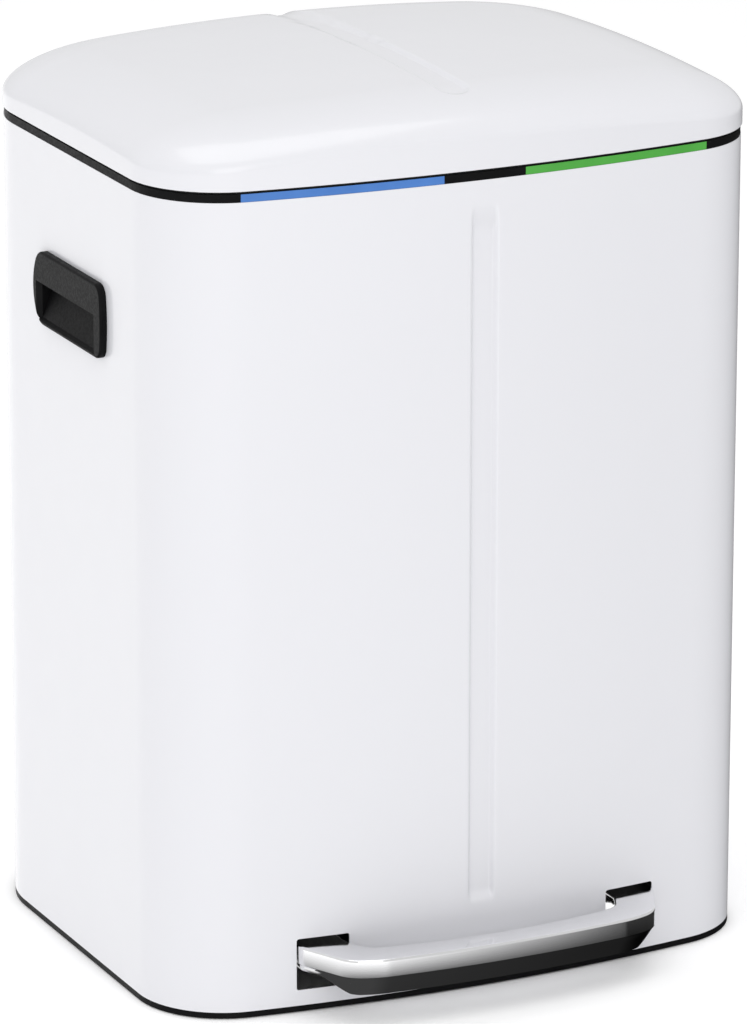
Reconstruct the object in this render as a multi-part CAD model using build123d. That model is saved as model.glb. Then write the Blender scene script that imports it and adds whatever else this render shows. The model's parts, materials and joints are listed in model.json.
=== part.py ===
from build123d import *
import os
from math import radians, sqrt, tan

# Dual-compartment pedal bin. Millimetres, +Z up, front faces -Y, +X to the right of someone facing the front.
# Everything is laid out with y = 0 at the middle of the side walls, then save() moves it by
# SHIFT_Y so that the origin is the middle of the footprint's box.

# ---- body plan ----
HALF_WIDTH = 223.3          # side walls
SIDE_FRONT = -172.8         # where the bowed front would meet the side walls
BACK = 172.8                # flat back wall
BOW = 20.5                  # how far the front bows out at the centre
R_FRONT = 63.6              # front corner radius
R_BACK = 87.5               # back corner radius
BOW_R = (HALF_WIDTH**2 + BOW**2) / (2 * BOW)
BOW_Y = SIDE_FRONT - BOW + BOW_R
STEEL = 0.8                 # sheet thickness of body and lid

# ---- heights ----
FOOT_H = 0.8
FOOT_X = (-168, 168)
FOOT_Y = (-128, 118)
SHELL_Z0 = 5.1
SHELL_Z1 = 570.0
RIM_Z1 = 575.6
LID_Z0 = 577.0
FLOOR_Z = 59.0              # underside of the floor that the buckets stand on
FLOOR_T = 2.5

# ---- lid ----
LID_OUT = 0.8               # the lid stands this far outside the body
LID_TOP = 625.7
LID_TOP_Y = -32.9
DOME_R = 1900.0
LID_EDGE_R = 19.0
BEVEL_Z = 600.5             # height of the front bevel at the lid's front edge
BEVEL_SLOPE = 1.155         # its rise per mm inwards
LID_GROOVE_HALF = 11.0
LID_GROOVE_Y = -143.0
LID_GROOVE_D = 2.0          # depth of the lid's channel

# ---- lid hinge and the pull-up linkage ----
HINGE_Y = 181.0
HINGE_Z = 568.0
LID_OPEN = 75.0
CRANK_X = 13.88             # from hinge axis forward to the lift rod
PIN_R = 3.0
RUN = 0.06                  # radial running clearance
LIFT = 2 * CRANK_X * tan(radians(LID_OPEN / 2))
ROD_Y = HINGE_Y - CRANK_X
ROD_R = 2.5
CRANK_PIN_Z = HINGE_Z - LIFT / 2
EAR_X = 44.0
EAR_T = 8.0
CHEEK_X = (29.0, 57.0)
CHEEK_T = 6.0
NOTCH_HALF = 62.0
NOTCH_Z = 549.0
HINGE_PLATE_Y = (146.0, 166.0)
LID_SCREW_X = (-52, -26, 26, 52)
BRACKET_SCREW_X = (-43, 43)
BRACKET_SCREW_Z = (512, 536)

# ---- pedal linkage ----
AXLE_Y = -50.6
AXLE_Z = 30.0
AXLE_R = 4.0
AXLE_HALF = 146.0
BEARING_X = 137.0
ARM_X = 118.0
ARM_W = 16.0
ARM_T = 4.0
PEDAL_TOP = 49.2
PEDAL_BAND = 35.5         # underside of the front bar's upright band
PEDAL_Z = 32.0            # underside of the arms
PEDAL_LOW = 21.0
SLOT_X = (97.7, 135.6)
SLOT_Z = (16.2, 53.2)
NOSE_R = 4.0
PEDAL_SCREW_Y = (-174.0, -165.0)

# ---- buckets and handles ----
BUCKET_TOP = 556.0
BUCKET_BOTTOM = 61.8
BUCKET_T = 2.0
BAIL_R = 2.5
BAIL_Z = 559.0
BAIL_Y = -9.0
BUCKET_X = (7.0, 199.0)
BUCKET_Y = (-154.0, 140.0)
BUCKET_EAR_X = (10.6, 195.4)

# ---- side grips ----
GRIP_Y = (-76.0, 42.0)      # ends of the flange, front and rear
GRIP_Z = (442.4, 494.0)
GRIP_BULGE = (2.5, 10.0)    # how far the front and the rear end bow out
GRIP_CORNER = (9.0, 14.0)
GRIP_PROUD = 5.0
GRIP_OPEN_Y = (-60.0, 31.5)
GRIP_OPEN_Z = (446.5, 472.0)
GRIP_BEVEL = (1.9, 4.5, 3.0)    # of the mouth: height below, width at each side, depth
POCKET_TOP = 482.0
POCKET_SLOPE = 0.38
GRIP_T = 2.4

COVER_BACK = HINGE_Y + 10.0
PEDAL_FRONT = -241.4
CHANNEL_HALF = 9.8
CHANNEL_DEPTH = 2.4
CHANNEL_Z = (66.0, 553.0)
SHIFT_Y = -(PEDAL_FRONT + COVER_BACK) / 2


def save(shape, node):
    """Moves the piece into the row's frame and writes it."""
    export_step(Pos(0, SHIFT_Y, 0) * shape, "parts/" + node + ".step")


def outline(inset):
    """Plan outline of the bin, moved inwards by inset."""
    a = HALF_WIDTH - inset
    r = BOW_R - inset
    y_side = BOW_Y - sqrt(r**2 - a**2)
    y_back = BACK - inset
    bow = ThreePointArc((-a, y_side), (0, BOW_Y - r), (a, y_side))
    walls = Polyline((a, y_side), (a, y_back), (-a, y_back), (-a, y_side))
    face = make_face(bow + walls)
    front = face.vertices().sort_by(Axis.Y)[:2]
    face = fillet(front, R_FRONT - inset)
    back = face.vertices().group_by(Axis.Y)[-1]
    return fillet(back, R_BACK - inset)


def prism(inset, z0, z1):
    return Pos(0, 0, z0) * extrude(outline(inset), z1 - z0)


def ring(inset_out, inset_in, z0, z1):
    return prism(inset_out, z0, z1) - prism(inset_in, z0 - 1, z1 + 1)


def block(x0, x1, y0, y1, z0, z1):
    """Box from its low and high corners."""
    box = Box(x1 - x0, y1 - y0, z1 - z0)
    return Pos((x0 + x1) / 2, (y0 + y1) / 2, (z0 + z1) / 2) * box


def rod_x(x0, x1, y, z, r):
    """Round bar along X."""
    return Pos((x0 + x1) / 2, y, z) * Rot(0, 90, 0) * Cylinder(r, x1 - x0)


def rod_z(x, y, z0, z1, r):
    """Round bar along Z."""
    return Pos(x, y, (z0 + z1) / 2) * Cylinder(r, z1 - z0)


def rounded_bar(half_x, y0, y1, z0, z1, r):
    bar = block(-half_x, half_x, y0, y1, z0, z1)
    return fillet(bar.edges(), r)


# ---------------------------------------------------------------- body

def pedal_slots(y0, y1, grow=0.0):
    cut = block(SLOT_X[0] - grow, SLOT_X[1] + grow, y0, y1, SLOT_Z[0] - grow, SLOT_Z[1] + grow)
    cut = fillet(cut.edges().filter_by(Axis.Y), 2.0)
    return cut + mirror(cut, Plane.YZ)


def body_shell():
    """Painted steel wrap with the shallow front channel, pedal slots, grip windows and hinge notch."""
    shell = ring(0, STEEL, SHELL_Z0, SHELL_Z1)
    front = BOW_Y - BOW_R
    z0, z1 = CHANNEL_Z
    deep = front + CHANNEL_DEPTH
    channel = rounded_bar(CHANNEL_HALF, front - 4, deep, z0, z1, 2.0)
    backing = rounded_bar(CHANNEL_HALF + STEEL, front - 4, deep + STEEL, z0 - STEEL, z1 + STEEL, 2.4)
    shell = shell + (backing & prism(0, SHELL_Z0, SHELL_Z1)) - channel
    shell = shell - pedal_slots(-215, -150)
    window = block(-240, 240, GRIP_OPEN_Y[0] - 3, GRIP_OPEN_Y[1] + 3, GRIP_OPEN_Z[0] - 2.4, POCKET_TOP + 3.2)
    shell = shell - window
    shell = shell - bracket_shanks()
    return shell - block(-NOTCH_HALF, NOTCH_HALF, 150, 190, NOTCH_Z, SHELL_Z1 + 5)


def base_ring():
    """Black base moulding: the ring that shows under the wrap and the skirt inside it."""
    base = ring(0, 6, FOOT_H, SHELL_Z0) + ring(STEEL, 4, SHELL_Z0, FLOOR_Z)
    front = BOW_Y - BOW_R
    base = base - block(-13, 13, front - 7, front + 4.9, SHELL_Z0, FLOOR_Z + 5)
    base = base + block(-14, 14, front + 5.9, front + 8.9, FOOT_H, FLOOR_Z)
    base = base + block(-14, -12.9, front + 3, front + 8, FOOT_H, FLOOR_Z)
    base = base + block(12.9, 14, front + 3, front + 8, FOOT_H, FLOOR_Z)
    base = base - pedal_slots(-215, -150, 1.0)
    return base - block(-27, 27, 152, 175, SHELL_Z0, FLOOR_Z + 5)


def floor_plate():
    """Floor that the buckets stand on, with its four foot posts."""
    plate = prism(1.0, FLOOR_Z, FLOOR_Z + FLOOR_T)
    plate = plate - block(-27, 27, 152, 175, FLOOR_Z - 1, FLOOR_Z + 5)
    for x in FOOT_X:
        for y in FOOT_Y:
            plate = plate + (Pos(x, y, 0) * foot_boss())
    return plate


def axle_blocks():
    """Two hanging blocks that hold the pedal axle."""
    blocks = []
    for x in (-BEARING_X, BEARING_X):
        post = block(x - 4, x + 4, AXLE_Y - 12, AXLE_Y + 12, AXLE_Z - 9, FLOOR_Z)
        blocks.append((post - rod_x(x - 9, x + 9, AXLE_Y, AXLE_Z, AXLE_R)).solid())
    return Compound(blocks)


def foot_boss():
    return rod_z(0, 0, 3.0, FLOOR_Z + 0.5, 12.0)


def feet():
    """Four soft pads pressed onto the base bosses."""
    pads = []
    for x in FOOT_X:
        for y in FOOT_Y:
            pads.append(rod_z(x, y, 0, 3.0, 11.0).solid())
    return Compound(pads)


def rim_ring():
    """Black ring on top of the wrap. It carries the coloured strips and hooks inside the wrap."""
    rim = ring(0.4, 13, SHELL_Z1, RIM_Z1)
    rim = rim - prism(3.6, SHELL_Z1 - 1, RIM_Z1 - 3.0)
    rim = rim + ring(STEEL, 3.6, 558, RIM_Z1 - 2)
    rim = rim - strip_zone(30, 172, 0)
    rim = rim - strip_zone(-172, -30, 0)
    rim = rim - block(-NOTCH_HALF, NOTCH_HALF, 130, 190, NOTCH_Z, RIM_Z1 + 5)
    return rim


def strip_zone(x0, x1, gap):
    """Slice of the rim's outer 1.4 mm between two places across the front."""
    band = ring(0.2, 1.8, SHELL_Z1 + 0.1, RIM_Z1 - 0.1)
    return band & block(x0 + gap, x1 - gap, -230, -100, SHELL_Z1 - 1, RIM_Z1 + 1)


def coloured_strip(x0, x1):
    return strip_zone(x0, x1, 0.05)


def grip_flange():
    """Plan of the flange in the YZ plane: straight top and bottom, bowed ends, rounded corners."""
    y0, y1 = GRIP_Y
    z0, z1 = GRIP_Z
    front, rear = GRIP_BULGE
    mid = (z0 + z1) / 2
    front_end = ThreePointArc((y0 + front, z1), (y0, mid), (y0 + front, z0))
    rear_end = ThreePointArc((y1 - rear, z0), (y1, mid), (y1 - rear, z1))
    bottom = Line((y0 + front, z0), (y1 - rear, z0))
    top = Line((y1 - rear, z1), (y0 + front, z1))
    face = make_face(Plane.YZ * (front_end + bottom + rear_end + top))
    corners = face.vertices().sort_by(Axis.Y)
    face = fillet(corners[:2], GRIP_CORNER[0])
    corners = face.vertices().sort_by_distance((0, y1 - rear, mid))
    ends = [v for v in corners if abs(v.Y - (y1 - rear)) < 0.01]
    return fillet(ends, GRIP_CORNER[1])


def mouth(x, below, side):
    """Rectangle in the YZ plane at x: the mouth of the pocket, enlarged below and at both sides."""
    y0 = GRIP_OPEN_Y[0] - side
    y1 = GRIP_OPEN_Y[1] + side
    z0 = GRIP_OPEN_Z[0] - below
    z1 = GRIP_OPEN_Z[1]
    middle = (x, (y0 + y1) / 2, (z0 + z1) / 2)
    place = Plane(origin=middle, x_dir=(0, 1, 0), z_dir=(1, 0, 0))
    return place * Rectangle(y1 - y0, z1 - z0)


def grip():
    """Left grip: flange standing proud of the wall, bevelled mouth, finger pocket that slopes in and up."""
    wall = -HALF_WIDTH
    face = wall - GRIP_PROUD
    flange = Pos(face, 0, 0) * extrude(grip_flange(), GRIP_PROUD, dir=(1, 0, 0))
    flange = fillet(flange.faces().sort_by(Axis.X)[0].edges(), 1.6)
    below, side, deep = GRIP_BEVEL
    z0, z1 = GRIP_OPEN_Z
    t = GRIP_T
    low = face + deep
    high = low + POCKET_SLOPE * (POCKET_TOP - z0)
    hollow = Polyline((low - 0.5, z0), (low, z0), (high, POCKET_TOP), (face + t, POCKET_TOP), (face + t, z1),
                      (face - 1, z1), (face - 1, z0 + 3), (low - 0.5, z0 + 3), (low - 0.5, z0))
    shell = Polyline((wall - 1, z0 - 1.8), (wall + 0.6, z0 - 1.8), (high + t, POCKET_TOP + t),
                     (wall - 1, POCKET_TOP + t), (wall - 1, z0 - 1.8))
    y0, y1 = GRIP_OPEN_Y
    hollow = Pos(0, y1, 0) * extrude(make_face(Plane.XZ * hollow), y1 - y0)
    shell = Pos(0, y1 + t, 0) * extrude(make_face(Plane.XZ * shell), y1 - y0 + 2 * t)
    bevel = loft([mouth(face, below, side), mouth(low, 0, 0)])
    return flange + shell - hollow - bevel


# ---------------------------------------------------------------- lid

def lid_form(inset, z0):
    """Closed form of the lid: bowed plan, domed top, rounded side shoulders, straight front bevel."""
    form = prism(inset - LID_OUT, z0, LID_TOP + 10)
    dome = Pos(0, LID_TOP_Y, LID_TOP - DOME_R) * Sphere(DOME_R - inset)
    form = form & dome
    top_edges = [e for e in form.edges() if e.center().Z > LID_Z0 + 20]
    form = fillet(top_edges, LID_EDGE_R - inset)
    height = LID_TOP + 10 - z0
    r_low = BOW_R + LID_OUT - inset * 1.3 - (z0 - BEVEL_Z) / BEVEL_SLOPE
    r_high = r_low - height / BEVEL_SLOPE
    cone = Pos(0, BOW_Y, z0 + height / 2) * Cone(r_low, r_high, height)
    return form & cone


def lid_channel(half, depth):
    """What the lid's shallow channel takes away from a form: half is half its width, depth its drop."""
    slot = block(-half, half, LID_GROOVE_Y, 200, LID_Z0 + 20, LID_TOP + 10)
    slot = slot + rod_z(0, LID_GROOVE_Y, LID_Z0 + 20, LID_TOP + 10, half)
    floor = Pos(0, LID_TOP_Y, LID_TOP - DOME_R) * Sphere(DOME_R - depth)
    return slot - floor


def lid_skin():
    """Painted steel lid with a shallow channel running from the back to a round end near the front."""
    outer = lid_form(0, LID_Z0) - lid_channel(LID_GROOVE_HALF, LID_GROOVE_D)
    inner = lid_form(STEEL, LID_Z0 - 1) - lid_channel(LID_GROOVE_HALF + STEEL, LID_GROOVE_D + STEEL)
    return outer - inner


def lid_liner():
    """Black inner lid: a pan that closes the skin's underside and rises over the buckets."""
    pan = prism(0.2, 580.2, 582.7)
    raised = lid_form(10.0, 580.2)
    hollow = lid_form(12.5, 570.0)
    pan = pan - prism(13, 579, 584)
    pan = pan + block(-64, 64, HINGE_PLATE_Y[0] - 2, HINGE_PLATE_Y[1], 580.2, 583.2)
    wall = raised - hollow
    return pan + (wall & prism(0.2, 580.2, 640)) - lid_shanks()


def lid_seal():
    """Soft ring under the liner that closes on the rim."""
    seal = ring(1.6, 6.5, RIM_Z1 + 0.2, 580.2)
    return seal - block(-NOTCH_HALF, NOTCH_HALF, 120, 190, 570, 590)


def lid_hinge():
    """Steel hinge plate under the liner with two ears and the slotted crank."""
    parts = block(-60, 60, HINGE_PLATE_Y[0], HINGE_PLATE_Y[1], 577.1, 580.1)
    for x in (-EAR_X, EAR_X, 0):
        half = EAR_T / 2 if x else 3.0
        parts = parts + block(x - half, x + half, 150, 172.2, 576.0, 580.1)
        web = Polyline((158, 577.0), (172.2, 577.0), (172.2, 576.4), (HINGE_Y, HINGE_Z + 6.4),
                       (HINGE_Y, HINGE_Z - 6.4), (172, HINGE_Z - 2), (158, 577.0))
        web = make_face(Plane.YZ * web)
        parts = parts + Pos(x - half, 0, 0) * extrude(web, 2 * half, dir=(1, 0, 0))
        parts = parts + rod_x(x - half, x + half, HINGE_Y, HINGE_Z, 6.5)
    dy = -CRANK_X
    dz = -LIFT / 2
    length = sqrt(dy**2 + dz**2)
    crank = block(-3, 3, -24.5, 0, -6.5, 6.5)
    crank = fillet(crank.edges().filter_by(Axis.X).group_by(Axis.Y)[0], 5.0)
    slot = Pos(0, -(length + CRANK_X) / 2, 0) * Box(20, length - CRANK_X + 2 * ROD_R + 1.2, 2 * ROD_R + 1.5)
    angle = LID_OPEN / 2
    place = Pos(0, HINGE_Y, HINGE_Z) * Rot(angle, 0, 0)
    parts = parts + place * crank - place * slot - lid_shanks()
    return parts - rod_x(-80, 80, HINGE_Y, HINGE_Z, PIN_R + RUN)


def lid_shanks():
    y = sum(HINGE_PLATE_Y) / 2
    return Compound([rod_z(x, y, 577.0, 582.0, 1.5).solid() for x in LID_SCREW_X])


def lid_screws():
    y = sum(HINGE_PLATE_Y) / 2
    return Compound([(rod_z(x, y, 575.9, 577.1, 3.5) + rod_z(x, y, 577.0, 582.0, 1.5)).solid()
                     for x in LID_SCREW_X])


# ---------------------------------------------------------------- hinge bracket at the back

def hinge_bracket():
    """Bracket on the back wall whose cheeks carry the hinge pin."""
    bracket = block(-68, 68, BACK + 0.05, BACK + 3.5, 500, 547)
    for x in (-CHEEK_X[1], -CHEEK_X[0], CHEEK_X[0], CHEEK_X[1]):
        cheek = block(x - CHEEK_T / 2, x + CHEEK_T / 2, BACK + 0.05, HINGE_Y + 6, 506, HINGE_Z)
        cheek = cheek + rod_x(x - CHEEK_T / 2, x + CHEEK_T / 2, HINGE_Y, HINGE_Z, 6.0)
        bracket = bracket + cheek
    return bracket - rod_x(-70, 70, HINGE_Y, HINGE_Z, PIN_R) - bracket_shanks()


def hinge_pin():
    pin = rod_x(-64, 64, HINGE_Y, HINGE_Z, PIN_R)
    return chamfer(pin.edges(), 0.5)


def hinge_cover():
    """Black cover over the bracket, open at the top where the lid's ears swing."""
    outer = block(-72, 72, BACK + 0.05, COVER_BACK, 497, HINGE_Z + 6)
    outer = fillet(outer.edges().filter_by(Axis.Z).group_by(Axis.Y)[-1], 6.0)
    inner = block(-69.5, 69.5, BACK - 1, COVER_BACK - 2.5, 499.5, HINGE_Z + 10)
    inner = fillet(inner.edges().filter_by(Axis.Z).group_by(Axis.Y)[-1], 3.5)
    return outer - inner


def rod_y(x, z, y0, y1, r):
    """Round bar along Y."""
    return Pos(x, (y0 + y1) / 2, z) * Rot(90, 0, 0) * Cylinder(r, y1 - y0)


def bracket_shanks():
    return Compound([rod_y(x, z, BACK - 9, BACK + 4, 1.9).solid()
                     for x in BRACKET_SCREW_X for z in BRACKET_SCREW_Z])


def bracket_screws():
    screws = []
    for x in BRACKET_SCREW_X:
        for z in BRACKET_SCREW_Z:
            head = rod_y(x, z, BACK + 3.5, BACK + 5.5, 4.0)
            screws.append((head + rod_y(x, z, BACK - 9, BACK + 4, 1.9)).solid())
    return Compound(screws)


# ---------------------------------------------------------------- lift rod and damper

def lift_rod():
    """Upright rod with a foot on the pedal lever and a fork for the crank at the top."""
    z_foot = AXLE_Z + NOSE_R + 0.3
    rod = rod_z(0, ROD_Y, z_foot + 2, 541, ROD_R)
    rod = rod + rod_z(0, ROD_Y, z_foot, z_foot + 3, 3.6)
    rod = rod + block(-7.5, 7.5, ROD_Y - 3.6, ROD_Y + 3.6, 536, 540)
    for x in (-5.6, 5.6):
        rod = rod + block(x - 1.9, x + 1.9, ROD_Y - 3.6, ROD_Y + 3.6, 539, CRANK_PIN_Z + 5)
    return rod - rod_x(-10, 10, ROD_Y, CRANK_PIN_Z, ROD_R)


def crank_pin():
    return rod_x(-8.5, 8.5, ROD_Y, CRANK_PIN_Z, ROD_R)


DAMPER_X = 16.0
DAMPER_Z = (300.0, 392.0)
DAMPER_Y = 163.0


def damper_body():
    body = rod_z(DAMPER_X, DAMPER_Y, DAMPER_Z[0], DAMPER_Z[1], 7.5)
    body = body - rod_z(DAMPER_X, DAMPER_Y, DAMPER_Z[0] + 4, DAMPER_Z[1] - 5, 6.0)
    return body - rod_z(DAMPER_X, DAMPER_Y, DAMPER_Z[1] - 6, DAMPER_Z[1] + 1, 2.05)


def damper_piston():
    piston = rod_z(DAMPER_X, DAMPER_Y, DAMPER_Z[0] + 14, DAMPER_Z[0] + 20, 5.7)
    return piston + rod_z(DAMPER_X, DAMPER_Y, DAMPER_Z[0] + 20, 425, 2.0)


def rod_collar():
    """Clamp that ties the damper's piston rod to the lift rod."""
    collar = block(-6, DAMPER_X + 5, 160.0, 170.6, 420, 430)
    collar = collar - rod_z(0, ROD_Y, 410, 440, ROD_R)
    return collar - rod_z(DAMPER_X, DAMPER_Y, 410, 425, 2.0)


def rod_guides():
    guides = []
    for z in (120, 470):
        guide = block(-9, 9, 158, BACK - STEEL, z, z + 12)
        guides.append((guide - rod_z(0, ROD_Y, z - 1, z + 13, ROD_R + RUN)).solid())
    return Compound(guides)


def damper_clips():
    clips = []
    for z in (312, 374):
        clip = block(DAMPER_X - 10, DAMPER_X + 10, 155, BACK - STEEL, z, z + 8)
        clips.append((clip - rod_z(DAMPER_X, DAMPER_Y, z - 1, z + 9, 7.5)
                      - block(DAMPER_X - 5, DAMPER_X + 5, 150, 160, z - 1, z + 9)).solid())
    return Compound(clips)


def rod_cover():
    """Channel that keeps the buckets off the rod."""
    outer = block(-31, 31, 149, BACK - STEEL - 0.1, FLOOR_Z + FLOOR_T, 532)
    return outer - block(-29.8, 29.8, 150.2, BACK, FLOOR_Z - 5, 540)


# ---------------------------------------------------------------- pedal

def pedal_plan():
    """The U-shaped pedal seen from above."""
    end = -160
    front = ThreePointArc((-88, -237.2), (0, PEDAL_FRONT), (88, -237.2))
    right = ThreePointArc((88, -237.2), (97.9, -235.5), (107.5, -232.4))
    right = right + ThreePointArc((107.5, -232.4), (114.9, -227.7), (120.1, -220.7))
    right = right + Polyline((120.1, -220.7), (133.4, -193.4), (134.6, -188), (134.6, end),
                             (103.5, end), (103, -193))
    right = right + ThreePointArc((103, -193), (98, -205.8), (84, -212.5))
    back = ThreePointArc((84, -212.5), (0, -220.5), (-84, -212.5))
    left = ThreePointArc((-84, -212.5), (-98, -205.8), (-103, -193))
    left = left + Polyline((-103, -193), (-103.5, end), (-134.6, end), (-134.6, -188), (-133.4, -193.4),
                           (-120.1, -220.7))
    left = left + ThreePointArc((-120.1, -220.7), (-114.9, -227.7), (-107.5, -232.4))
    left = left + ThreePointArc((-107.5, -232.4), (-97.9, -235.5), (-88, -237.2))
    return make_face(front + right + back + left)


def pedal_bar():
    """Chromed foot pedal: a U whose two arms run in through the slots, with a stepped lip under the bar."""
    plan = pedal_plan()
    pedal = Pos(0, 0, PEDAL_BAND) * extrude(plan, PEDAL_TOP - PEDAL_BAND)
    arms = Pos(0, 0, PEDAL_Z) * extrude(plan, PEDAL_BAND - PEDAL_Z)
    pedal = pedal + (arms & block(-140, 140, -200, -150, 0, 60))
    middle = (PEDAL_BAND + PEDAL_LOW) / 2
    for inset, z0, z1 in ((5, middle, PEDAL_BAND), (10, PEDAL_LOW, middle)):
        step = Pos(0, 0, z0) * extrude(plan, z1 - z0)
        step = step & (Pos(0, inset, 0) * step) & block(-112, 112, -245, -203, 0, 60)
        pedal = pedal + step
    return pedal - pedal_shanks()


def pedal_lever():
    """Steel lever: two arms under the pedal, a rear cross bar and a tongue that lifts the rod."""
    low = AXLE_Z - ARM_T / 2
    high = AXLE_Z + ARM_T / 2
    lever = block(-ARM_X - ARM_W / 2, ARM_X + ARM_W / 2, 84, 100, low, high)
    for x in (-ARM_X, ARM_X):
        lever = lever + block(x - ARM_W / 2, x + ARM_W / 2, -180, 100, low, high)
        lever = lever + rod_x(x - ARM_W / 2, x + ARM_W / 2, AXLE_Y, AXLE_Z, 7.0)
    lever = lever + block(-11, 11, 98, ROD_Y, low, high)
    lever = lever + rod_x(-11, 11, ROD_Y, AXLE_Z, NOSE_R)
    lever = lever + block(-ARM_X, ARM_X, -150, -138, low, high)
    return lever - rod_x(-200, 200, AXLE_Y, AXLE_Z, AXLE_R + RUN) - pedal_shanks()


def pedal_shanks():
    low = AXLE_Z - ARM_T / 2
    return Compound([rod_z(x, y, low, low + 14, 2.0).solid()
                     for x in (-ARM_X, ARM_X) for y in PEDAL_SCREW_Y])


def pedal_screws():
    """Screws that hold the pedal's arms down on the lever."""
    low = AXLE_Z - ARM_T / 2
    return Compound([(rod_z(x, y, low - 2, low, 3.6) + rod_z(x, y, low, low + 14, 2.0)).solid()
                     for x in (-ARM_X, ARM_X) for y in PEDAL_SCREW_Y])


def pedal_axle():
    return chamfer(rod_x(-AXLE_HALF, AXLE_HALF, AXLE_Y, AXLE_Z, AXLE_R).edges(), 0.6)


def axle_clips():
    clips = []
    for x in (-143.5, 143.5):
        clip = rod_x(x - 0.75, x + 0.75, AXLE_Y, AXLE_Z, 7.0)
        clips.append((clip - rod_x(x - 2, x + 2, AXLE_Y, AXLE_Z, AXLE_R)).solid())
    return Compound(clips)


def axle_spacers():
    spacers = []
    for x in (-129.5, 129.5):
        spacer = rod_x(x - 3.2, x + 3.2, AXLE_Y, AXLE_Z, 6.5)
        spacers.append((spacer - rod_x(x - 5, x + 5, AXLE_Y, AXLE_Z, AXLE_R)).solid())
    return Compound(spacers)


# ---------------------------------------------------------------- buckets

def bucket_plan(inset, taper):
    """Right bucket's plan: small radii beside the middle, large ones at the bin's corners."""
    x0 = BUCKET_X[0] + inset + taper
    x1 = BUCKET_X[1] - inset - taper
    y0 = BUCKET_Y[0] + inset + taper
    y1 = BUCKET_Y[1] - inset - taper
    face = make_face(Polyline((x0, y0), (x1, y0), (x1, y1), (x0, y1), (x0, y0)))
    near = face.vertices().group_by(Axis.X)[0]
    face = fillet(near, 22 - inset)
    far = face.vertices().group_by(Axis.X)[-1]
    return fillet(far, 46 - inset)


def tapered(inset, z0, z1):
    low = Pos(0, 0, z0) * bucket_plan(inset, 7.0)
    high = Pos(0, 0, z1) * bucket_plan(inset, 0.0)
    return loft([low.face(), high.face()])


def bucket():
    """Right inner bucket with a rolled rim and two ears for its handle."""
    body = tapered(0, BUCKET_BOTTOM, BUCKET_TOP - 0.5)
    flange = Pos(0, 0, BUCKET_TOP - 2.5) * extrude(bucket_plan(-4.0, 0), 2.5)
    lip = Pos(0, 0, BUCKET_TOP - 12) * extrude(bucket_plan(-4.0, 0) - bucket_plan(-2.4, 0), 10)
    hollow = tapered(BUCKET_T, BUCKET_BOTTOM + 2.5, BUCKET_TOP + 3)
    solid = body + flange + lip - hollow
    for x in BUCKET_EAR_X:
        ear = block(x - 1.5, x + 1.5, BAIL_Y - 8, BAIL_Y + 8, BUCKET_TOP - 25, BAIL_Z + 3.6)
        ear = ear - rod_x(x - 5, x + 5, BAIL_Y, BAIL_Z, BAIL_R + RUN)
        solid = solid + ear
    return solid


def bail():
    """Right bucket's wire handle, lying back on the rim, with its ends turned in through the ears."""
    x0 = BUCKET_X[0] - 1.4
    x1 = BUCKET_X[1] + 1.4
    y1 = BUCKET_Y[1] - 6
    arms = FilletPolyline((BUCKET_EAR_X[0] + 5, BAIL_Y, BAIL_Z), (x0, BAIL_Y, BAIL_Z), (x0, y1, BAIL_Z),
                          (x1, y1, BAIL_Z), (x1, BAIL_Y, BAIL_Z), (BUCKET_EAR_X[1] - 5, BAIL_Y, BAIL_Z),
                          radius=[3.0, 22.0, 40.0, 3.0])
    section = Plane(origin=arms @ 0, z_dir=arms % 0) * Circle(BAIL_R)
    return sweep(section, path=arms)


os.makedirs("parts", exist_ok=True)
NODES = {
    "body_shell": body_shell, "base_ring": base_ring, "floor_plate": floor_plate, "axle_blocks": axle_blocks,
    "feet": feet, "rim_ring": rim_ring,
    "lid_skin": lid_skin, "lid_liner": lid_liner, "lid_seal": lid_seal, "lid_hinge": lid_hinge,
    "lid_screws": lid_screws, "hinge_bracket": hinge_bracket, "hinge_pin": hinge_pin,
    "hinge_cover": hinge_cover, "bracket_screws": bracket_screws, "lift_rod": lift_rod,
    "crank_pin": crank_pin, "damper_body": damper_body, "damper_piston": damper_piston,
    "rod_collar": rod_collar, "rod_guides": rod_guides, "damper_clips": damper_clips,
    "rod_cover": rod_cover, "pedal_bar": pedal_bar, "pedal_lever": pedal_lever,
    "pedal_screws": pedal_screws, "pedal_axle": pedal_axle, "axle_clips": axle_clips,
    "axle_spacers": axle_spacers,
}
for name, make in NODES.items():
    save(make(), name)

save(coloured_strip(-172, -30), "strip_blue")
save(coloured_strip(30, 172), "strip_green")
left_grip = grip()
save(left_grip, "grip_left")
save(mirror(left_grip, Plane.YZ), "grip_right")
right_bucket = bucket()
save(right_bucket, "bucket_right")
save(mirror(right_bucket, Plane.YZ), "bucket_left")
right_bail = bail()
save(right_bail, "bail_right")
save(mirror(right_bail, Plane.YZ), "bail_left")
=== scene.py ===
import json
import math

import bmesh
import bpy
import numpy as np
from mathutils import Matrix, Vector


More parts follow.
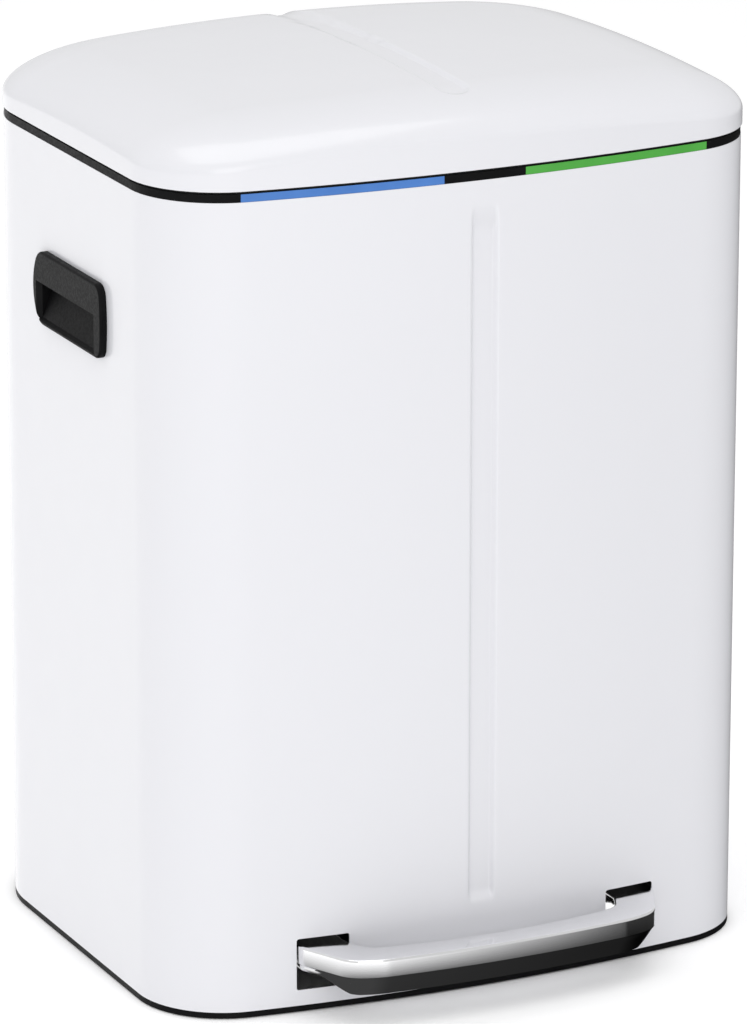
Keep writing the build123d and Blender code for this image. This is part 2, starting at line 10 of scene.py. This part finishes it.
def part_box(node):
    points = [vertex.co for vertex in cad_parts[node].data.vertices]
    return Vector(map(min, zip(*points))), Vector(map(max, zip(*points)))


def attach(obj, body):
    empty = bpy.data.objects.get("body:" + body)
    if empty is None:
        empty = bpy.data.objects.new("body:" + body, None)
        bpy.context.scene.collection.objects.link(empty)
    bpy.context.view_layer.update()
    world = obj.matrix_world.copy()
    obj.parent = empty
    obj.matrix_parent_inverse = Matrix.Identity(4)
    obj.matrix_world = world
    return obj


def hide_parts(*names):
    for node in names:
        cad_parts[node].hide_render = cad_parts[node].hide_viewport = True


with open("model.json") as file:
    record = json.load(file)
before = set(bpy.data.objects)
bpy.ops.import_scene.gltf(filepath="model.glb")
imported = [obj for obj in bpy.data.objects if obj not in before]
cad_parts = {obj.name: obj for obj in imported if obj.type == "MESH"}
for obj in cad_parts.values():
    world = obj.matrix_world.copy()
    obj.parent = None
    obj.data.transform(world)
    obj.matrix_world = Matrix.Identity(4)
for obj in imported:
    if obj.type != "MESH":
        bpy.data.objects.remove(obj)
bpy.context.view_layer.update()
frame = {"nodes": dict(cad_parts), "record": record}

MM = 0.001

# ------------------------------------------------------------------ sizes, in metres
SHELL_LOW, SHELL_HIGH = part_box("body_shell")
LID_LOW, LID_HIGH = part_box("lid_skin")
HALF_WIDTH = SHELL_HIGH.x
BACK_Y = SHELL_HIGH.y
FRONT_Y = SHELL_LOW.y
BOW = 20.5 * MM
BOW_R = (HALF_WIDTH**2 + BOW**2) / (2 * BOW)
BOW_Y = FRONT_Y + BOW_R
R_FRONT = 63.6 * MM
R_BACK = 87.5 * MM
MID_Y = (FRONT_Y + BOW + BACK_Y) / 2
STEEL = 0.8 * MM
SHARP = math.radians(38)        # edges that turn by more than this are left sharp

CHANNEL_HALF = 9.7 * MM
CHANNEL_DEPTH = 3.6 * MM
CHANNEL_Z = (62 * MM, 554 * MM)
CHANNEL_WALL = 3.8 * MM         # width of each sloping side
CHANNEL_FADE = (8 * MM, 20 * MM)    # height over which it fades out, at the bottom and at the top

SLOT_X = (97.7 * MM, 135.6 * MM)
SLOT_Z = (16.2 * MM, 53.2 * MM)
SLOT_CORNER_R = 1.8 * MM
WINDOW_CORNER_R = 1.5 * MM
NOTCH_Z = 549 * MM              # bottom of the cut-out for the hinge

LID_OUT = 0.8 * MM
LID_TOP = LID_HIGH.z
LID_TOP_Y = MID_Y - 32.9 * MM
LID_RX = 1.816
LID_RY = 2.003
SHOULDER_WIDTH = 64.6 * MM
SHOULDER_DROP = 22 * MM
BEVEL_Z = 600.5 * MM
BEVEL_SLOPE = 1.155
CREASE_SOFT = 0.6 * MM
LID_CHANNEL_HALF = 11 * MM
LID_CHANNEL_END = MID_Y - 143 * MM
LID_CHANNEL_DEPTH = 2.3 * MM
LID_CHANNEL_WALL = 4.0 * MM
LID_TURN_IN = 6 * MM
LID_SHOULDER_RINGS = 40
LID_TOP_RINGS = 64

PEDAL_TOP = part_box("pedal_bar")[1].z
PEDAL_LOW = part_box("pedal_bar")[0].z - 0.6 * MM
PEDAL_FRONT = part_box("pedal_bar")[0].y
PEDAL_BAND = 13.7 * MM          # height of the front bar's upright band
ARM_DEPTH = 17.2 * MM
PEDAL_INNER = PEDAL_FRONT + 20.9 * MM     # inner edge at the middle of the front
PEDAL_EDGE_R = 1.8 * MM
PEDAL_UNDERCUT = 9.5 * MM       # how far the slope under the band runs in
UNDERCUT_Y = (203 * MM, 20 * MM)    # where it starts in front of the middle, and over what length
ARM_END = MID_Y - 160 * MM      # the tread's arms go in through the slots and stop here

FLOOR_HALF = 30.0
FLOOR_GLOW = 0.2                # strength of the floor's own light
GLOW_R = (0.17, 0.24)           # it is off within the first radius and full beyond the second
WORLD_LEFT = 0.82               # strength of the surround on each side, seen from the front
WORLD_RIGHT = 0.67
UNDER_DARK = 0.04               # strength straight below
UNDER_LEFT = 1.35               # strength low on the left
LAMPS = (                       # name, place, size and watts
    ("key_front", (-0.9, -3.2, 1.9), 2.2, 23),
    ("fill_top", (-0.2, 0.1, 3.4), 2.4, 24),
)
LAMP_AIM = Vector((0, 0, 0.3))

CAMERA_PLACE = Vector((-1.8814, MID_Y - 3.9951, 1.6323))
CAMERA_TURN = (0.44209, -0.29573, 0.00098)      # yaw from +Y, pitch and roll, in radians
SENSOR_MM = 36
LENS_MM = 232.06


# ------------------------------------------------------------------ helpers

def smooth(t):
    """0 below 0, 1 above 1, with no corner between."""
    t = np.clip(t, 0.0, 1.0)
    return t * t * (3 - 2 * t)


def mesh_object(name, verts, faces, body, material, sharp=SHARP):
    """Makes a piece from points and faces, smooth except at sharp edges, riding on a body."""
    mesh = bpy.data.meshes.new(name)
    mesh.from_pydata([tuple(v) for v in verts], [], faces)
    bm = bmesh.new()
    bm.from_mesh(mesh)
    bmesh.ops.remove_doubles(bm, verts=bm.verts, dist=1e-6)
    bmesh.ops.recalc_face_normals(bm, faces=bm.faces)
    bm.to_mesh(mesh)
    bm.free()
    mesh.shade_smooth()
    mesh.set_sharp_from_angle(angle=sharp)
    mesh.materials.append(material)
    piece = bpy.data.objects.new(name, mesh)
    bpy.context.scene.collection.objects.link(piece)
    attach(piece, body)
    return piece


def bake(piece):
    """Applies a piece's modifiers to its mesh."""
    graph = bpy.context.evaluated_depsgraph_get()
    mesh = bpy.data.meshes.new_from_object(piece.evaluated_get(graph))
    piece.modifiers.clear()
    piece.data = mesh
    mesh.shade_smooth()
    mesh.set_sharp_from_angle(angle=SHARP)


def outline(step, fine):
    """Points and outward normals round the bin's plan, anticlockwise from the middle of the front.

    Points are fine apart across the channel, step apart on the rest of the bow, and wider on straight runs.
    """
    points = []
    a = HALF_WIDTH
    front_y = BOW_Y - math.sqrt((BOW_R - R_FRONT)**2 - (a - R_FRONT)**2)
    turn = math.atan2(a - R_FRONT, BOW_Y - front_y)

    def arc(cx, cy, r, a0, a1, count):
        for i in range(count):
            t = a0 + (a1 - a0) * i / count
            n = (math.sin(t), -math.cos(t))
            points.append((cx + r * n[0], cy + r * n[1], n[0], n[1]))

    def run(p, q, n):
        count = max(1, round(math.dist(p, q) / (3 * step)))
        for i in range(count):
            t = i / count
            points.append((p[0] + (q[0] - p[0]) * t, p[1] + (q[1] - p[1]) * t, n[0], n[1]))

    def bow(x0, x1, count):
        """Along the bowed front from x0 to x1."""
        arc(0, BOW_Y, BOW_R, math.asin(x0 / BOW_R), math.asin(x1 / BOW_R), count)

    x_turn = BOW_R * math.sin(turn)
    middle = 16 * MM
    bow(0, middle, round(middle / fine))
    bow(middle, x_turn, round((x_turn - middle) / step))
    arc(a - R_FRONT, front_y, R_FRONT, turn, math.pi / 2, 34)
    run((a, front_y), (a, BACK_Y - R_BACK), (1, 0))
    arc(a - R_BACK, BACK_Y - R_BACK, R_BACK, math.pi / 2, math.pi, 44)
    run((a - R_BACK, BACK_Y), (0, BACK_Y), (0, 1))
    right = np.array(points)
    left = right[1:][::-1] * np.array([-1, 1, -1, 1])
    corner = np.array([[0, BACK_Y, 0, 1]])
    return np.vstack([right, corner, left])


def stack(rings, closed_top=None):
    """Faces that join rings of points, each of the same count, and optionally a centre point at the end."""
    n = len(rings[0])
    verts = np.vstack(rings)
    faces = []
    for k in range(len(rings) - 1):
        for i in range(n):
            j = (i + 1) % n
            faces.append((k * n + i, k * n + j, (k + 1) * n + j, (k + 1) * n + i))
    if closed_top is not None:
        verts = np.vstack([verts, closed_top])
        last = (len(rings) - 1) * n
        top = len(verts) - 1
        for i in range(n):
            faces.append((last + i, last + (i + 1) % n, top))
    return verts, faces


# ------------------------------------------------------------------ materials

def node_material(name, color, roughness, metallic=0.0, coat=0.0, coat_roughness=0.05, specular=0.5):
    """A Principled material with constants on its own sockets. Returns it with its tree and shader."""
    material = bpy.data.materials.new(name)
    material.use_nodes = True
    tree = material.node_tree
    shader = tree.nodes["Principled BSDF"]
    shader.inputs["Base Color"].default_value = (*color, 1)
    shader.inputs["Roughness"].default_value = roughness
    shader.inputs["Metallic"].default_value = metallic
    shader.inputs["Coat Weight"].default_value = coat
    shader.inputs["Coat Roughness"].default_value = coat_roughness
    shader.inputs["Specular IOR Level"].default_value = specular
    return material, tree, shader


def noise(tree, scale, detail=3.0, stretch=(1, 1, 1)):
    """Noise over the object's own coordinates, stretched along the axes."""
    coords = tree.nodes.new("ShaderNodeTexCoord")
    mapping = tree.nodes.new("ShaderNodeMapping")
    mapping.inputs["Scale"].default_value = stretch
    texture = tree.nodes.new("ShaderNodeTexNoise")
    texture.inputs["Scale"].default_value = scale
    texture.inputs["Detail"].default_value = detail
    tree.links.new(coords.outputs["Object"], mapping.inputs["Vector"])
    tree.links.new(mapping.outputs["Vector"], texture.inputs["Vector"])
    return texture


def vary(tree, shader, texture, socket, low, high):
    """Drives a shader socket between two values or colours by a texture."""
    ramp = tree.nodes.new("ShaderNodeValToRGB")
    for element, position, value in zip(ramp.color_ramp.elements, (0.3, 0.7), (low, high)):
        element.position = position
        element.color = (*value, 1) if isinstance(value, tuple) else (value, value, value, 1)
    tree.links.new(texture.outputs["Fac"], ramp.inputs["Fac"])
    tree.links.new(ramp.outputs["Color"], shader.inputs[socket])


def map_range(tree, source, start, end, first, last):
    """Value that runs from first to last as the source goes from start to end."""
    node = tree.nodes.new("ShaderNodeMapRange")
    for socket, value in zip(("From Min", "From Max", "To Min", "To Max"), (start, end, first, last)):
        node.inputs[socket].default_value = value
    tree.links.new(source, node.inputs["Value"])
    return node.outputs["Result"]


def combine(tree, operation, *sources):
    """Result of a sum or product of node outputs."""
    node = tree.nodes.new("ShaderNodeMath")
    node.operation = operation
    for socket, source in zip(node.inputs, sources):
        tree.links.new(source, socket)
    return node.outputs["Value"]


def bump(tree, shader, texture, strength, distance):
    """Raises a shader's surface by a texture."""
    node = tree.nodes.new("ShaderNodeBump")
    node.inputs["Strength"].default_value = strength
    node.inputs["Distance"].default_value = distance
    tree.links.new(texture.outputs["Fac"], node.inputs["Height"])
    tree.links.new(node.outputs["Normal"], shader.inputs["Normal"])


def white_enamel():
    """Gloss powder coat: very faint orange peel, and a slight cool drift of the white."""
    material, tree, shader = node_material("white_enamel", (0.775, 0.775, 0.81), 0.35,
                                           coat=0.6, coat_roughness=0.1)
    vary(tree, shader, noise(tree, 1.6, 1.0), "Base Color", (0.770, 0.771, 0.806), (0.780, 0.781, 0.814))
    vary(tree, shader, noise(tree, 45.0, 2.0), "Roughness", 0.33, 0.38)
    bump(tree, shader, noise(tree, 700.0, 1.0), 0.03, 0.0002)
    return material


def black_moulding():
    """Moulded black plastic with a fine spark-eroded grain."""
    material, tree, shader = node_material("black_moulding", (0.006, 0.006, 0.0065), 0.4, specular=0.06)
    vary(tree, shader, noise(tree, 60.0, 3.0), "Base Color", (0.005, 0.005, 0.0055), (0.008, 0.008, 0.0085))
    vary(tree, shader, noise(tree, 500.0, 2.0), "Roughness", 0.36, 0.52)
    bump(tree, shader, noise(tree, 2200.0, 2.0), 0.18, 0.0003)
    return material


def bucket_grain():
    """Grey-black polypropylene of the inner buckets, with a soft grain."""
    material, tree, shader = node_material("bucket_polypropylene", (0.045, 0.045, 0.048), 0.5)
    vary(tree, shader, noise(tree, 25.0, 3.0), "Base Color", (0.04, 0.04, 0.042), (0.055, 0.055, 0.058))
    bump(tree, shader, noise(tree, 1400.0, 2.0), 0.15, 0.0003)
    return material


def soft_rubber():
    """Matte black rubber of the foot pads and the lid's seal."""
    material, tree, shader = node_material("soft_rubber", (0.011, 0.011, 0.011), 0.75, specular=0.3)
    vary(tree, shader, noise(tree, 300.0, 4.0), "Roughness", 0.66, 0.84)
    bump(tree, shader, noise(tree, 900.0, 3.0), 0.2, 0.0003)
    return material


def strip_plastic(name, dark, light):
    """Satin coloured plastic of the sorting strips."""
    material, tree, shader = node_material(name, light, 0.35)
    vary(tree, shader, noise(tree, 40.0, 2.0), "Base Color", dark, light)
    bump(tree, shader, noise(tree, 1500.0, 2.0), 0.08, 0.0002)
    return material


def satin_chrome():
    """Chrome with hairlines that run along the pedal."""
    material, tree, shader = node_material("satin_chrome", (0.85, 0.85, 0.86), 0.1, metallic=1.0)
    lines = noise(tree, 60.0, 4.0, stretch=(0.6, 30, 30))
    vary(tree, shader, lines, "Roughness", 0.07, 0.14)
    vary(tree, shader, noise(tree, 12.0, 2.0), "Base Color", (0.82, 0.82, 0.83), (0.88, 0.88, 0.89))
    bump(tree, shader, lines, 0.04, 0.0002)
    return material


def zinc_steel():
    """Zinc-plated steel with a faint drawn grain."""
    material, tree, shader = node_material("zinc_steel", (0.56, 0.57, 0.58), 0.38, metallic=1.0)
    grain = noise(tree, 30.0, 4.0, stretch=(1, 1, 8))
    vary(tree, shader, grain, "Base Color", (0.48, 0.49, 0.5), (0.62, 0.63, 0.64))
    vary(tree, shader, noise(tree, 90.0, 3.0, stretch=(8, 1, 1)), "Roughness", 0.3, 0.48)
    return material


def lever_steel_painted_shade():
    """Steel of the lever, painted near-black to stand in for the shade inside the pedal slots, with a faint
    rolled grain.
    """
    material, tree, shader = node_material("lever_steel_painted_shade", (0.02, 0.02, 0.021), 0.5, metallic=0.6)
    vary(tree, shader, noise(tree, 40.0, 3.0, stretch=(1, 6, 1)), "Roughness", 0.42, 0.58)
    return material


MATERIALS = {
    "white_paint": white_enamel(),
    "black_plastic": black_moulding(),
    "rubber": soft_rubber(),
    "blue_plastic": strip_plastic("strip_blue_plastic", (0.050, 0.180, 0.53), (0.060, 0.205, 0.58)),
    "green_plastic": strip_plastic("strip_green_plastic", (0.065, 0.37, 0.045), (0.08, 0.42, 0.055)),
    "chrome": satin_chrome(),
    "steel": zinc_steel(),
    "bucket_plastic": bucket_grain(),
}


def dress_cad_nodes():
    """Gives each carried-over CAD node its finished material."""
    slots = {s["node"]: s["material_slot"] for s in frame["record"]["subparts"]}
    # the lever's near-black colour is painted shade for the dark inside of the pedal slots
    lever = lever_steel_painted_shade()
    for name, node in frame["nodes"].items():
        material = lever if name == "pedal_lever" else MATERIALS[slots[name]]
        node.data.materials.clear()
        node.data.materials.append(material)


# ------------------------------------------------------------------ painted body and lid

def body_wrap():
    """The body's sheet with its soft channel, open above and below, with its openings cut."""
    ring = outline(3.2 * MM, 0.55 * MM)
    x, y, nx, ny = ring.T
    front = y < MID_Y
    across = np.where(front, smooth((CHANNEL_HALF + 1.0 * MM - np.abs(x)) / CHANNEL_WALL), 0.0)
    z0, z1 = SHELL_LOW.z, SHELL_HIGH.z
    low, high = CHANNEL_Z
    levels = [z0, z0 + 0.3 * MM]
    levels += list(np.arange(z0 + 4 * MM, low - 6 * MM, 12 * MM))
    levels += list(np.arange(low - 6 * MM, low + 26 * MM, 2 * MM))
    levels += list(np.arange(low + 26 * MM, high - 30 * MM, 25 * MM))
    levels += list(np.arange(high - 30 * MM, high + 8 * MM, 2 * MM))
    levels += [z1 - 4 * MM, z1 - 0.3 * MM, z1]
    rings = []
    for z in levels:
        along = smooth((z - low) / CHANNEL_FADE[0]) * smooth((high - z) / CHANNEL_FADE[1])
        depth = CHANNEL_DEPTH * across * along
        rings.append(np.c_[x - nx * depth, y - ny * depth, np.full(len(x), z)])
    verts, faces = stack(rings)
    piece = mesh_object("body_wrap", verts, faces, "housing", MATERIALS["white_paint"])
    shell = piece.modifiers.new("sheet", "SOLIDIFY")
    shell.thickness = STEEL
    shell.offset = -1
    shell.use_even_offset = True
    bake(piece)
    cut(piece, body_cutters())
    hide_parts("body_shell")


def rounded_box(lo, hi, r, axis):
    """Points and faces of a box whose four edges along one axis are rounded."""
    u, v = [k for k in range(3) if k != axis]
    loop = []
    for cu, cv, start in ((hi[u] - r, hi[v] - r, 0), (lo[u] + r, hi[v] - r, 90),
                          (lo[u] + r, lo[v] + r, 180), (hi[u] - r, lo[v] + r, 270)):
        for i in range(7):
            t = math.radians(start + 15 * i)
            loop.append((cu + r * math.cos(t), cv + r * math.sin(t)))
    verts = []
    for end in (lo[axis], hi[axis]):
        for p in loop:
            point = [0, 0, 0]
            point[u], point[v], point[axis] = p[0], p[1], end
            verts.append(point)
    n = len(loop)
    faces = [tuple(range(n)), tuple(range(2 * n - 1, n - 1, -1))]
    for i in range(n):
        faces.append((i, (i + 1) % n, n + (i + 1) % n, n + i))
    return verts, faces


def body_cutters():
    """Closed forms that open the pedal slots, the windows behind the grips and the hinge cut-out."""
    cutters = []
    for lo_x, hi_x in (SLOT_X, (-SLOT_X[1], -SLOT_X[0])):
        cutters.append(rounded_box((lo_x, FRONT_Y - 20 * MM, SLOT_Z[0]),
                                   (hi_x, FRONT_Y + 60 * MM, SLOT_Z[1]), SLOT_CORNER_R, 1))
    for side in ("grip_left", "grip_right"):
        lo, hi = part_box(side)
        x0, x1 = lo.x - 10 * MM, lo.x + 20 * MM
        if side == "grip_right":
            x0, x1 = hi.x - 20 * MM, hi.x + 10 * MM
        cutters.append(rounded_box((x0, lo.y + 13 * MM, lo.z + 1.7 * MM),
                                   (x1, hi.y - 7.5 * MM, hi.z - 8.8 * MM), WINDOW_CORNER_R, 0))
    lo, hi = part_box("hinge_cover")
    cutters.append(rounded_box((lo.x + 10 * MM, BACK_Y - 20 * MM, NOTCH_Z),
                               (hi.x - 10 * MM, BACK_Y + 20 * MM, 600 * MM), WINDOW_CORNER_R, 1))
    return cutters


def cut(piece, cutters):
    """Takes closed forms out of a piece."""
    for verts, faces in cutters:
        mesh = bpy.data.meshes.new("cutter")
        mesh.from_pydata([tuple(v) for v in verts], [], faces)
        bm = bmesh.new()
        bm.from_mesh(mesh)
        bmesh.ops.remove_doubles(bm, verts=bm.verts, dist=1e-7)
        bmesh.ops.recalc_face_normals(bm, faces=bm.faces)
        bm.to_mesh(mesh)
        bm.free()
        tool = bpy.data.objects.new("cutter", mesh)
        bpy.context.scene.collection.objects.link(tool)
        modifier = piece.modifiers.new("cut", "BOOLEAN")
        modifier.operation = "DIFFERENCE"
        modifier.solver = "EXACT"
        modifier.object = tool
        bpy.context.view_layer.update()
        bake(piece)
        bpy.data.objects.remove(tool)
        bpy.data.meshes.remove(mesh)


def lid_height(x, y, inset):
    """Height of the lid's top at a place whose distance from the lid's edge is inset."""
    crown = LID_TOP - (y - LID_TOP_Y)**2 / (2 * LID_RY) - x**2 / (2 * LID_RX)
    near = np.clip(1 - inset / SHOULDER_WIDTH, 0, 1)
    dome = crown - SHOULDER_DROP * (1 - np.sqrt(np.clip(1 - near**2, 0, 1)))
    from_front = BOW_R + LID_OUT - np.hypot(x, y - BOW_Y)
    bevel = np.where(y < MID_Y, BEVEL_Z + BEVEL_SLOPE * from_front, 10.0)
    k = CREASE_SOFT
    low = np.minimum(dome, bevel)
    soft = low - k * np.log1p(np.exp(-np.abs(dome - bevel) / k))
    beyond = np.minimum(y - LID_CHANNEL_END, 0)
    edge = LID_CHANNEL_HALF - np.hypot(x, beyond)
    channel = LID_CHANNEL_DEPTH * smooth((edge + 0.8 * MM) / LID_CHANNEL_WALL)
    return soft - channel


def lid_dome():
    """The painted lid: upright rim, rounded shoulders, straight front bevel and shallow channel."""
    ring = outline(2.2 * MM, 0.9 * MM)
    x, y, nx, ny = ring.T
    z0 = LID_LOW.z
    rings = []
    rings.append(np.c_[x - nx * LID_TURN_IN, y - ny * LID_TURN_IN, np.full(len(x), z0 + 0.7 * MM)])
    rings.append(np.c_[x - nx * 0.5 * MM, y - ny * 0.5 * MM, np.full(len(x), z0 + 0.1 * MM)])
    for lift in (0.5, 0.9):
        rings.append(np.c_[x + nx * LID_OUT, y + ny * LID_OUT, np.full(len(x), z0 + lift * MM)])
    edge_z = lid_height(x + nx * LID_OUT, y + ny * LID_OUT, np.zeros(len(x)))
    for t in (0.33, 0.66):
        rings.append(np.c_[x + nx * LID_OUT, y + ny * LID_OUT, z0 + (edge_z - z0) * t])
    for i in range(LID_SHOULDER_RINGS + 1):
        inset = 62 * MM * (i / LID_SHOULDER_RINGS)**1.9
        px, py = x + nx * (LID_OUT - inset), y + ny * (LID_OUT - inset)
        rings.append(np.c_[px, py, lid_height(px, py, np.full(len(x), inset))])
    for i in range(1, LID_TOP_RINGS):
        t = 1 - i / LID_TOP_RINGS
        cx, cy = px * t, MID_Y + (py - MID_Y) * t
        rings.append(np.c_[cx, cy, lid_height(cx, cy, np.full(len(x), 1.0))])
    top = lid_height(np.array([0.0]), np.array([MID_Y]), np.array([1.0]))[0]
    verts, faces = stack(rings, np.array([[0, MID_Y, top]]))
    piece = mesh_object("lid_dome", verts, faces, "lid", MATERIALS["white_paint"],
                        math.radians(50))
    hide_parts("lid_skin")


# ------------------------------------------------------------------ pedal

def track(start, moves):
    """Points and headings along a path that starts towards +X and turns left.

    A move is (radius, degrees, count) for an arc, or (None, length, count) for a straight.
    """
    x, y = start
    heading = 0.0
    points = [(x, y, heading)]
    for radius, amount, count in moves:
        for _ in range(count):
            if radius is None:
                x += amount / count * math.cos(heading)
                y += amount / count * math.sin(heading)
            else:
                turn = math.radians(amount) / count
                chord = 2 * radius * math.sin(turn / 2)
                x += chord * math.cos(heading + turn / 2)
                y += chord * math.sin(heading + turn / 2)
                heading += turn
            points.append((x, y, heading))
    return np.array(points)


def pedal_section(outer, inner):
    """Points round the pedal's section between matching places of its outer and inner edge."""
    out = np.array([math.sin(outer[2]), -math.cos(outer[2])])
    inward = np.array([-math.sin(inner[2]), math.cos(inner[2])])
    full = float(smooth((MID_Y - outer[1] - UNDERCUT_Y[0]) / UNDERCUT_Y[1]))
    r = PEDAL_EDGE_R
    band_low = PEDAL_TOP - PEDAL_BAND
    arm_low = PEDAL_TOP - ARM_DEPTH
    low = arm_low - (arm_low - PEDAL_LOW) * full
    undercut = PEDAL_UNDERCUT * full
    o = outer[:2]
    i = inner[:2]
    points = [(*(o - out * (undercut + 2.5 * MM)), low)]
    points.append((*(o - out * (undercut + 0.9 * MM)), low + 0.25 * MM))
    for t in (0.35, 0.7):
        points.append((*(o - out * (undercut * (1 - t) + 0.6 * MM)), low + (band_low - low) * t))
    points.append((*(o - out * 0.55 * MM), band_low + 0.15 * MM))
    points.append((*(o - out * 0.12 * MM), band_low + 0.7 * MM))
    for z in (band_low + 1.2 * MM, PEDAL_TOP - r - 0.4 * MM):
        points.append((*o, z))
    for k in range(7):
        t = math.radians(15 * k)
        points.append((*(o - out * r * (1 - math.cos(t))), PEDAL_TOP - r + r * math.sin(t)))
    for k in range(7):
        t = math.radians(90 - 15 * k)
        points.append((*(i - inward * r * (1 - math.cos(t))), PEDAL_TOP - r + r * math.sin(t)))
    points.append((*i, band_low))
    points.append((*(i - inward * 0.3 * MM), low + 0.6 * MM))
    points.append((*(i - inward * 1.2 * MM), low))
    return points


def pedal_tread():
    """The U-shaped tread: flat top, rounded edges, and a front bar undercut below its band."""
    outer = track((0, PEDAL_FRONT), ((920 * MM, 5.5, 30), (70 * MM, 16.5, 12), (24 * MM, 42, 20),
                                     (None, 30.4 * MM, 14), (12 * MM, 26, 10), (None, 20 * MM, 4)))
    inner = track((0, PEDAL_INNER), ((463 * MM, 9, 30), (280 * MM, 3, 12), (15 * MM, 55, 20),
                                     (None, 9 * MM, 14), (12 * MM, 23, 10), (None, 20 * MM, 4)))
    outer[-1, 1] = inner[-1, 1] = ARM_END
    right = [pedal_section(o, i) for o, i in zip(outer, inner)]
    left = [[(-x, y, z) for x, y, z in section] for section in right[:0:-1]]
    sections = left + right
    n = len(sections[0])
    verts = [p for section in sections for p in section]
    faces = []
    for k in range(len(sections) - 1):
        for i in range(n):
            j = (i + 1) % n
            faces.append((k * n + i, k * n + j, (k + 1) * n + j, (k + 1) * n + i))
    last = (len(sections) - 1) * n
    faces.append(tuple(range(n)))
    faces.append(tuple(last + i for i in range(n)))
    piece = mesh_object("pedal_tread", verts, faces, "pedal", MATERIALS["chrome"],
                        math.radians(35))
    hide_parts("pedal_bar")


# ------------------------------------------------------------------ floor, light, camera

def studio_floor():
    """Pale floor with a faint light of its own that is off under the bin. Gloss looks past it."""
    mesh = bpy.data.meshes.new("floor")
    h = FLOOR_HALF
    mesh.from_pydata([(-h, -h, 0), (h, -h, 0), (h, h, 0), (-h, h, 0)], [], [(0, 1, 2, 3)])
    floor = bpy.data.objects.new("floor", mesh)
    bpy.context.scene.collection.objects.link(floor)
    material, tree, shader = node_material("studio_floor", (0.97, 0.97, 0.972), 0.9, specular=0.0)
    vary(tree, shader, noise(tree, 1.5, 2.0), "Base Color", (0.965, 0.965, 0.967), (0.975, 0.975, 0.977))
    shader.inputs["Emission Color"].default_value = (1.0, 1.0, 1.0, 1)
    coords = tree.nodes.new("ShaderNodeTexCoord")
    distance = tree.nodes.new("ShaderNodeVectorMath")
    distance.operation = "LENGTH"
    tree.links.new(coords.outputs["Object"], distance.inputs[0])
    glow = map_range(tree, distance.outputs["Value"], *GLOW_R, 0.0, FLOOR_GLOW)
    tree.links.new(glow, shader.inputs["Emission Strength"])
    mesh.materials.append(material)
    floor.visible_glossy = False


def surround():
    """Bright surround that dims a little towards the right, and goes dark below except low on the left."""
    world = bpy.data.worlds.new("studio")
    world.use_nodes = True
    tree = world.node_tree
    background = tree.nodes["Background"]
    direction = tree.nodes.new("ShaderNodeTexCoord")
    split = tree.nodes.new("ShaderNodeSeparateXYZ")
    tree.links.new(direction.outputs["Generated"], split.inputs["Vector"])
    across, up = split.outputs["X"], split.outputs["Z"]

    side = map_range(tree, across, -1, 1, WORLD_LEFT, WORLD_RIGHT)
    above = combine(tree, "MULTIPLY", side, map_range(tree, up, -0.14, -0.02, 0, 1))
    low_side = map_range(tree, across, 0.12, 0.62, UNDER_LEFT, UNDER_DARK)
    depth = map_range(tree, up, -0.6, -0.33, UNDER_DARK, 1.0)
    below = combine(tree, "MULTIPLY", low_side, depth)
    below = combine(tree, "MULTIPLY", below, map_range(tree, up, -0.14, -0.02, 1, 0))
    tree.links.new(combine(tree, "ADD", above, below), background.inputs["Strength"])
    background.inputs["Color"].default_value = (1.0, 1.0, 1.0, 1)
    bpy.context.scene.world = world


def lamps():
    """Large soft lights from the front and from above."""
    for name, place, size, power in LAMPS:
        light = bpy.data.lights.new(name, "AREA")
        light.shape = "SQUARE"
        light.size = size
        light.energy = power
        lamp = bpy.data.objects.new(name, light)
        lamp.location = place
        lamp.rotation_euler = (LAMP_AIM - Vector(place)).to_track_quat("-Z", "Y").to_euler()
        bpy.context.scene.collection.objects.link(lamp)


def camera():
    """Camera to the left, above the bin, with a long lens."""
    data = bpy.data.cameras.new("camera")
    data.sensor_width = SENSOR_MM
    data.lens = LENS_MM
    data.clip_end = 100
    view = bpy.data.objects.new("camera", data)
    yaw, pitch, roll = CAMERA_TURN
    aim = Vector((math.sin(yaw) * math.cos(pitch), math.cos(yaw) * math.cos(pitch), math.sin(pitch)))
    turn = aim.to_track_quat("-Z", "Y").to_matrix().to_4x4()
    view.matrix_world = Matrix.Translation(CAMERA_PLACE) @ turn @ Matrix.Rotation(roll, 4, "Z")
    bpy.context.scene.collection.objects.link(view)
    bpy.context.scene.camera = view


bpy.context.scene.view_settings.view_transform = "Standard"
dress_cad_nodes()
body_wrap()
lid_dome()
pedal_tread()
studio_floor()
surround()
lamps()
camera()
